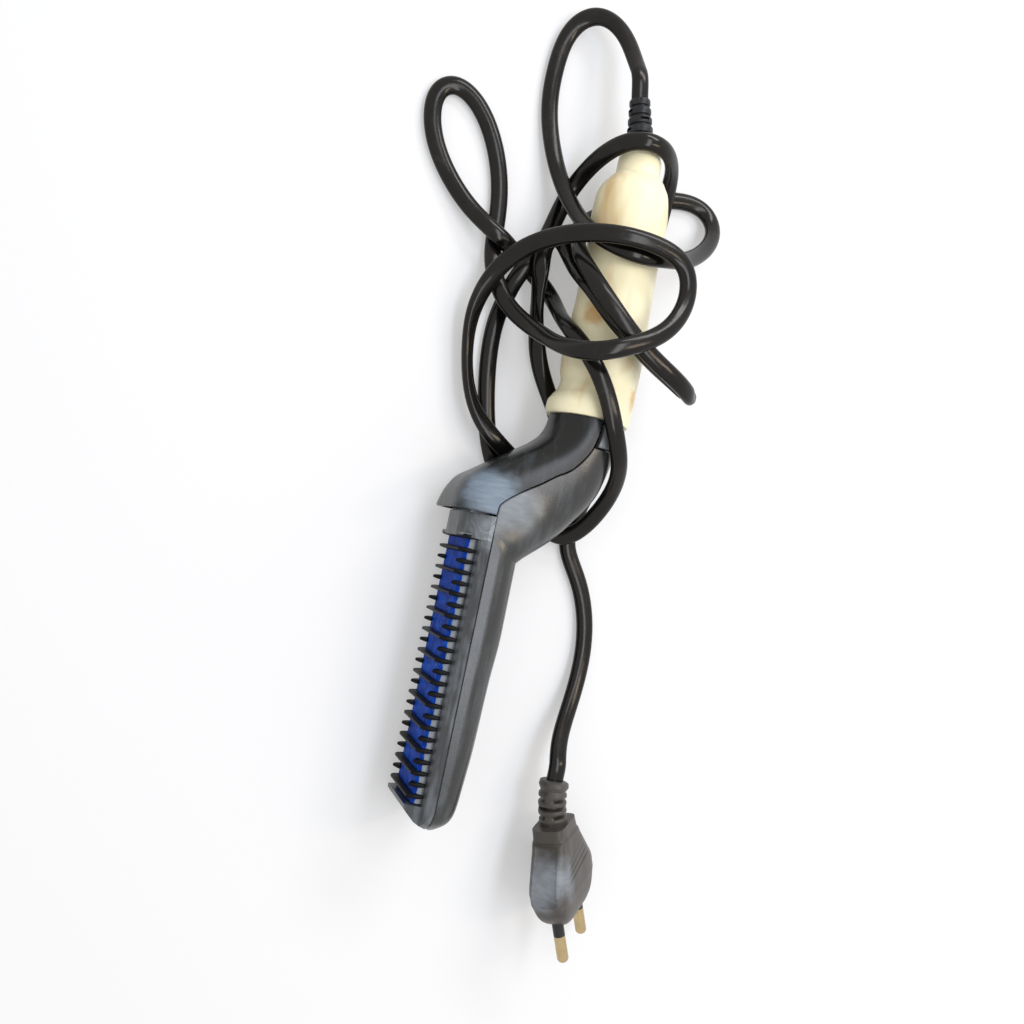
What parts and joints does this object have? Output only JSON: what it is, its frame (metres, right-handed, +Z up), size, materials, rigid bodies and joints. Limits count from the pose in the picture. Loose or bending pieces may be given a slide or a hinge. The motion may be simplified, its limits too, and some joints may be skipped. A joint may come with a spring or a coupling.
{
  "type": "hair straightening comb",
  "caption": "Heated hair and beard straightening comb: plate-like fins over a heater plate, crank neck, turned handle with a power button, swivel cord outlet and flat mains lead with plug.",
  "frame": {"origin": "middle of the rectangle that the tool covers without its lead, on the surface that it lies on", "axes": "+Z up from the surface, +X from the fins' tips towards the back of the head, +Y along the handle towards the lead"},
  "size_m": [0.1189, 0.3291, 0.047],
  "materials": {
    "comb_plastic": "satin",
    "coated_plate": "semi-gloss",
    "film": "satin",
    "contact_metal": "satin",
    "ceramic": "matte",
    "spring_steel": "satin",
    "fuse_case": "satin",
    "wire_jacket": "matte",
    "back_plastic": "satin",
    "front_plastic": "gloss",
    "handle_plastic": "gloss",
    "carrier_plastic": "matte",
    "board_laminate": "satin",
    "part_cases": "gloss",
    "switch_case": "matte",
    "button_plastic": "gloss",
    "lead_core": "matte",
    "swivel_plastic": "satin",
    "guard_rubber": "satin",
    "lead_jacket": "gloss",
    "plug_vinyl": "satin",
    "pin_sleeve_plastic": "gloss",
    "pin_brass": "satin"
  },
  "bodies": {
    "tool": {"comb_frame": "comb_plastic", "comb_fins": "comb_plastic", "short_teeth_upper": "comb_plastic", "short_teeth_lower": "comb_plastic", "heater_plate": "coated_plate", "insulating_films": "film", "contact_strips": "contact_metal", "ptc_heaters": "ceramic", "heater_spring": "spring_steel", "thermal_fuse": "fuse_case", "heater_wires": "wire_jacket", "back_shell": "back_plastic", "front_shell": "front_plastic", "handle_sleeve": "handle_plastic", "board_carrier": "carrier_plastic", "circuit_board": "board_laminate", "board_parts": "part_cases", "switch_body": "switch_case", "mains_wires": "lead_core", "swivel_socket": "swivel_plastic", "power_cord": "lead_jacket", "plug_guard": "plug_vinyl", "plug_body": "plug_vinyl", "pin_sleeves": "pin_sleeve_plastic", "plug_pins": "pin_brass"},
    "button": {"power_button": "button_plastic"},
    "swivel": {"swivel_ball": "swivel_plastic", "cord_guard": "guard_rubber"}
  },
  "joints": [
    {"name": "power_button_press", "type": "slide", "parent": "tool", "child": "button", "axis": [-1, 0, 0], "range_m": [0, 0.0008], "stiffness_N_per_m": 800, "springref_m": -0.0005},
    {"name": "cord_swivel", "type": "hinge", "parent": "tool", "child": "swivel", "pos_m": [0.01418, 0.11409, 0.0175], "axis": [-0.225, 0.9744, 0], "continuous": true}
  ]
}
